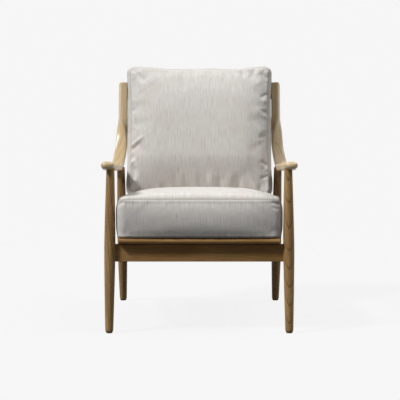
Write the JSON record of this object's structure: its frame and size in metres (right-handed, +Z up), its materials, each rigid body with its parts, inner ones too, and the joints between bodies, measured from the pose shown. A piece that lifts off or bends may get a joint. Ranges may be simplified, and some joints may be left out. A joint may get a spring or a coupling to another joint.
{
  "type": "occasional chair",
  "caption": "Upholstered lounge chair: oak show-wood frame with swept arms and round tapered legs, and loose linen seat and back cushions.",
  "frame": {"origin": "on the floor under the centre of the bounding box", "axes": "+Z up; the chair faces -Y; +X is to the right of someone who looks at its front"},
  "size_m": [0.689, 0.8086, 0.9287],
  "materials": {
    "oak": "brushed oak, matt oil",
    "linen": "slubby natural linen weave",
    "elastic_webbing": "black woven rubber webbing",
    "zinc_plated_steel": "bright zinc plate",
    "felt": "brown pressed felt"
  },
  "bodies": {
    "frame": {"arm_left": "oak", "arm_right": "oak", "front_leg_left": "oak", "front_leg_right": "oak", "rear_leg_left": "oak", "rear_leg_right": "oak", "front_apron": "oak", "side_rail_left": "oak", "side_rail_right": "oak", "rear_rail": "oak", "corner_block_front_left": "oak", "corner_block_front_right": "oak", "corner_block_rear_left": "oak", "corner_block_rear_right": "oak", "seat_frame_front": "oak", "seat_frame_left": "oak", "seat_frame_right": "oak", "seat_frame_rear": "oak", "back_lower_rail": "oak", "back_top_rail": "oak", "back_slat_1": "oak", "back_slat_2": "oak", "back_slat_3": "oak", "back_slat_4": "oak", "back_slat_5": "oak", "back_slat_6": "oak", "seat_web_1": "elastic_webbing", "seat_web_2": "elastic_webbing", "seat_web_3": "elastic_webbing", "seat_web_4": "elastic_webbing", "seat_web_5": "elastic_webbing", "seat_web_6": "elastic_webbing", "seat_web_7": "elastic_webbing", "seat_frame_screw_front_left": "zinc_plated_steel", "seat_frame_screw_front_right": "zinc_plated_steel", "seat_frame_screw_rear_left": "zinc_plated_steel", "seat_frame_screw_rear_right": "zinc_plated_steel", "foot_glide_front_left": "felt", "foot_glide_front_right": "felt", "foot_glide_rear_left": "felt", "foot_glide_rear_right": "felt"},
    "seat_cushion": {"seat_cushion": "linen"},
    "back_cushion": {"back_cushion": "linen"}
  },
  "joints": [
    {"name": "seat_cushion_draw_out", "type": "slide", "parent": "frame", "child": "seat_cushion", "axis": [0, -0.989, 0.1478], "range_m": [0, 0.6]},
    {"name": "back_cushion_lift_out", "type": "slide", "parent": "seat_cushion", "child": "back_cushion", "axis": [0, 0, 1], "range_m": [0, 0.5]}
  ]
}
